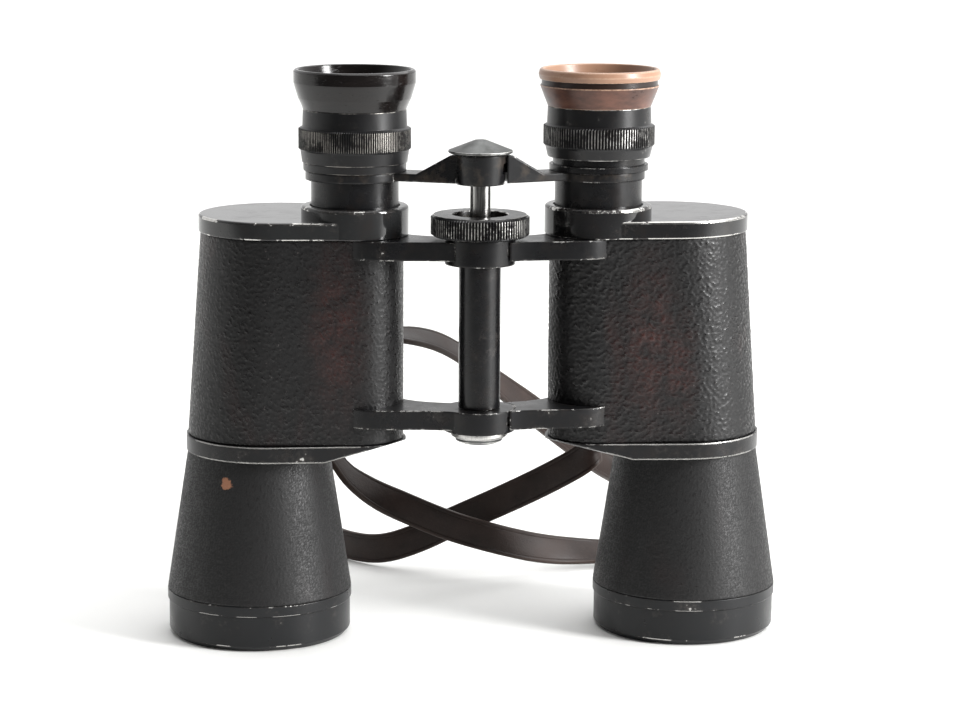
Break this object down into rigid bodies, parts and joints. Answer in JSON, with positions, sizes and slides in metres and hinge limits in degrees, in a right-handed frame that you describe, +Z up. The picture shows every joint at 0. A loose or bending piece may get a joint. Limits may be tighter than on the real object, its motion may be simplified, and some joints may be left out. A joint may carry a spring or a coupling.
{
  "type": "binoculars",
  "caption": "Prism binoculars with centre focusing, folding hinge, dioptre ring, dished eyecups, covered housings and a leather neck strap",
  "frame": {"origin": "floor level, under the middle of the object without its strap; the two objective rings stand at z = 0", "axes": "+Z up along the optical axes towards the eyepieces, +X across the two barrels towards the half with the dioptre ring, +Y towards the back where the strap lugs are"},
  "size_m": [0.2117, 0.2376, 0.1802],
  "materials": {
    "black_enamel": "gloss",
    "leathercloth": "satin",
    "grained_skin": "satin",
    "black_anodised": "matte",
    "black_bakelite": "gloss",
    "brown_bakelite": "satin",
    "steel": "satin",
    "worn_metal": "satin",
    "chrome": "polished",
    "brass": "satin",
    "coated_glass": "polished",
    "prism_glass": "polished",
    "strap_leather": "satin"
  },
  "bodies": {
    "right_half": {"right_prism_housing": "black_enamel", "right_housing_covering": "leathercloth", "right_cover_plate": "black_enamel", "right_cover_screws": "steel", "right_upper_prism": "prism_glass", "right_lower_prism": "prism_glass", "right_prism_clips": "brass", "right_objective_barrel": "black_enamel", "right_barrel_covering": "grained_skin", "right_objective_ring": "black_enamel", "right_objective_cell": "black_anodised", "right_objective_lens": "coated_glass", "right_eyepiece_guide": "black_anodised", "right_strap_lug": "black_enamel", "hinge_axle": "steel", "hinge_tube": "black_enamel", "hinge_washer": "steel", "hinge_end_cap": "worn_metal", "neck_strap": "strap_leather"},
    "left_half": {"left_prism_housing": "black_enamel", "left_housing_covering": "leathercloth", "left_cover_plate": "black_enamel", "left_cover_screws": "steel", "left_upper_prism": "prism_glass", "left_lower_prism": "prism_glass", "left_prism_clips": "brass", "left_objective_barrel": "black_enamel", "left_barrel_covering": "grained_skin", "left_objective_ring": "black_enamel", "left_objective_cell": "black_anodised", "left_objective_lens": "coated_glass", "left_eyepiece_guide": "black_anodised", "left_strap_lug": "black_enamel"},
    "focus_wheel": {"focus_wheel": "black_enamel", "focus_nut": "brass"},
    "focus_bridge": {"focus_shaft": "chrome", "right_bridge_arm": "black_enamel", "bridge_cap": "worn_metal", "right_eyepiece_sleeve": "black_enamel"},
    "left_ocular": {"left_bridge_arm": "black_enamel", "left_eyepiece_sleeve": "black_enamel", "left_ocular_cell": "black_anodised", "left_field_lens": "coated_glass", "left_eye_lens": "coated_glass", "left_eyepiece_ring": "black_enamel", "left_eyecup": "black_bakelite"},
    "right_ocular": {"right_ocular_cell": "black_anodised", "right_field_lens": "coated_glass", "right_eye_lens": "coated_glass"},
    "dioptre": {"right_dioptre_ring": "black_enamel", "right_eyecup": "brown_bakelite"}
  },
  "joints": [
    {"name": "interpupillary_hinge", "type": "hinge", "parent": "right_half", "child": "left_half", "pos_m": [0, -0.02024, 0.1], "axis": [0, 0, 1], "range_deg": [-52, 0], "deforming": ["neck_strap"]},
    {"name": "focus_wheel_turn", "type": "hinge", "parent": "right_half", "child": "focus_wheel", "pos_m": [0, -0.02024, 0.1], "axis": [0, 0, 1], "range_deg": [-279, 43.2]},
    {"name": "focus_travel", "type": "slide", "parent": "right_half", "child": "focus_bridge", "axis": [0, 0, 1], "range_m": [-0.0065, 0.001]},
    {"name": "left_eyepiece_swing", "type": "hinge", "parent": "focus_bridge", "child": "left_ocular", "pos_m": [0, -0.02024, 0.1], "axis": [0, 0, 1], "range_deg": [-52.2, 0.2]},
    {"name": "dioptre_travel", "type": "slide", "parent": "focus_bridge", "child": "right_ocular", "axis": [0, 0, 1], "range_m": [-0.00198, 0.00198]},
    {"name": "dioptre_turn", "type": "hinge", "parent": "right_ocular", "child": "dioptre", "pos_m": [0.03793, -0.00622, 0.16], "axis": [0, 0, 1], "range_deg": [-119, 119]}
  ],
  "couplings": [
    {"joint": "focus_wheel_turn", "follows": "focus_travel", "rad_per_m": 748},
    {"joint": "left_eyepiece_swing", "follows": "interpupillary_hinge", "ratio": 1},
    {"joint": "dioptre_turn", "follows": "dioptre_travel", "rad_per_m": 1047.2}
  ]
}
